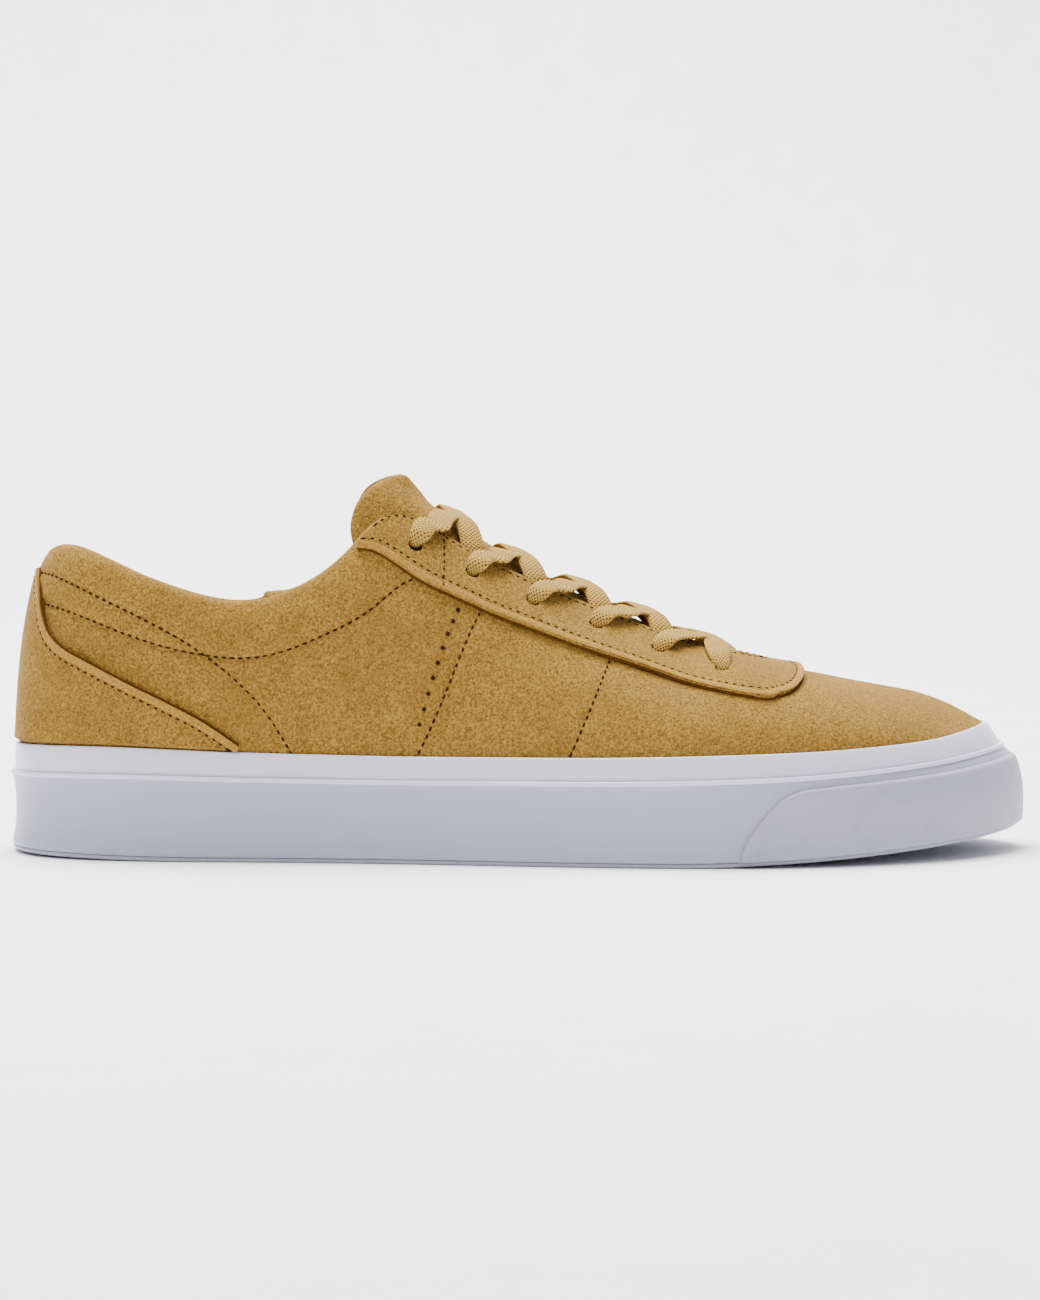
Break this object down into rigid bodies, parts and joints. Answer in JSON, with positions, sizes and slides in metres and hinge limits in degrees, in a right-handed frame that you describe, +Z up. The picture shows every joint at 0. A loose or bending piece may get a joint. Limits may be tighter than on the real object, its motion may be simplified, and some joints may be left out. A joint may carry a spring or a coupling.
{
  "type": "skateboarding shoe",
  "caption": "Low-top suede skateboarding shoe for the right foot, laced flat and empty, on a tall rubber cupped sidewall with a toe bumper.",
  "frame": {"origin": "on the floor under the middle of the sole", "axes": "+X along the sole to the toe, +Z up, the lateral side of this right shoe faces -Y"},
  "size_m": [0.3004, 0.1099, 0.111],
  "materials": {
    "sole_rubber": "moulded white rubber, satin",
    "midsole_foam": "matte foam",
    "insole_cloth": "brushed textile over foam",
    "suede": "tan yellow suede, napped",
    "lace_cotton": "flat woven cotton lace"
  },
  "bodies": {
    "root": {"outsole": "sole_rubber", "midsole": "midsole_foam", "insole": "insole_cloth", "foxing": "sole_rubber", "foxing_strip": "sole_rubber", "toe_bumper": "sole_rubber", "upper": "suede", "heel_counter": "suede", "eyestay": "suede", "tongue": "suede", "lace_crossing_1": "lace_cotton", "lace_crossing_2": "lace_cotton", "lace_crossing_3": "lace_cotton", "lace_crossing_4": "lace_cotton", "lace_crossing_5": "lace_cotton", "lace_bar": "lace_cotton"}
  },
  "joints": []
}
